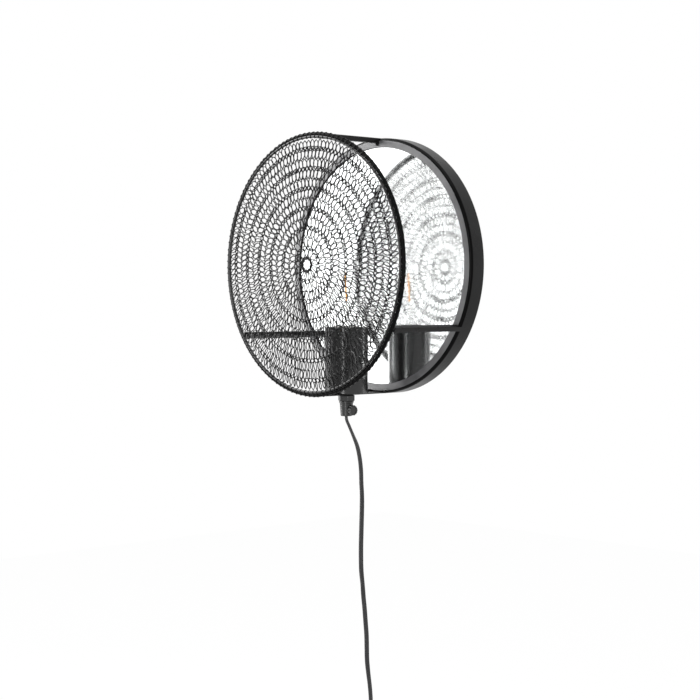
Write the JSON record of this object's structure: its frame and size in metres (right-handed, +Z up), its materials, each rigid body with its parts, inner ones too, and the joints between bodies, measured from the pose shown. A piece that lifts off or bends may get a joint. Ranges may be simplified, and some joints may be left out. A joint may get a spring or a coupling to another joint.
{
  "type": "wall lamp",
  "caption": "Round wall lamp: mirror in a black steel ring, domed black wire mesh held out on struts, upright filament bulb between them, hanging cord with switch and plug.",
  "frame": {"origin": "middle of the back ring on the wall, at the rear face of the back board", "axes": "+Z up, -Y out of the wall towards the room, +X to the right as seen from the room"},
  "size_m": [0.3, 0.134, 0.8594],
  "materials": {
    "ring_black": "satin black powder coat",
    "mesh_black": "satin black wire",
    "strut_black": "satin black powder coat",
    "mirror": "silvered glass with faint aged specks",
    "board": "brown hardboard, dark back",
    "zinc": "zinc plated",
    "cover_black": "satin black powder coat",
    "brass": "plain",
    "holder_black": "black phenolic",
    "porcelain": "glazed off-white",
    "core_brown": "brown insulation",
    "core_blue": "blue insulation",
    "clear_glass": "clear",
    "filament_amber": "amber coating",
    "nickel": "plain",
    "cap_metal": "nickel plated",
    "black_glass": "black glass insulator",
    "board_green": "circuit board",
    "grip_black": "black nylon",
    "cord_black": "glossy black sheath",
    "switch_black": "moulded black",
    "plug_black": "moulded black"
  },
  "bodies": {
    "lamp": {"back_ring": "ring_black", "mirror_glass": "mirror", "mirror_backing": "board", "mirror_clips": "zinc", "board_tabs": "zinc", "back_board": "board", "keyhole_plates": "zinc", "hanger_screws": "zinc", "board_screws": "zinc", "front_ring": "ring_black", "mesh_rim_wire": "mesh_black", "wire_mesh": "mesh_black", "top_strut": "strut_black", "left_strut": "strut_black", "right_strut": "strut_black", "socket_strip": "strut_black", "socket_cover": "cover_black", "threaded_nipple": "brass", "nipple_nut": "brass", "holder_cap": "holder_black", "holder_core": "porcelain", "holder_sleeve": "holder_black", "screw_shell": "brass", "centre_contact": "brass", "terminal_screws": "brass", "inner_leads": "core_brown", "grip_nut": "cover_black", "cord_grip": "grip_black", "cord_hang": "cord_black", "switch_base": "switch_black", "switch_cover": "switch_black", "switch_contacts": "brass", "switch_leads": "core_blue", "switch_screws": "zinc", "cord_lower": "cord_black", "cord_coil": "cord_black", "coil_tie": "plug_black", "plug_body": "plug_black", "plug_pins": "nickel"},
    "bulb": {"bulb_glass": "clear_glass", "bulb_stem": "clear_glass", "filament": "filament_amber", "filament_supports": "nickel", "bulb_cap": "cap_metal", "cap_insulator": "black_glass", "cap_contact": "cap_metal", "driver_board": "board_green"},
    "rocker": {"switch_rocker": "switch_black"},
    "thumb_screw": {"thumb_screw": "grip_black"}
  },
  "joints": [
    {"name": "bulb_turn", "type": "hinge", "parent": "lamp", "child": "bulb", "pos_m": [0, -0.071, -0.08], "axis": [0, 0, 1], "range_deg": [0, 1440]},
    {"name": "switch_rock", "type": "hinge", "parent": "lamp", "child": "rocker", "pos_m": [0.0231, -0.049, -0.546], "axis": [0, -1, 0], "range_deg": [0, 16]},
    {"name": "thumb_screw_turn", "type": "hinge", "parent": "lamp", "child": "thumb_screw", "pos_m": [0, -0.071, -0.1674], "axis": [1, 0, 0], "range_deg": [0, 1080]}
  ]
}
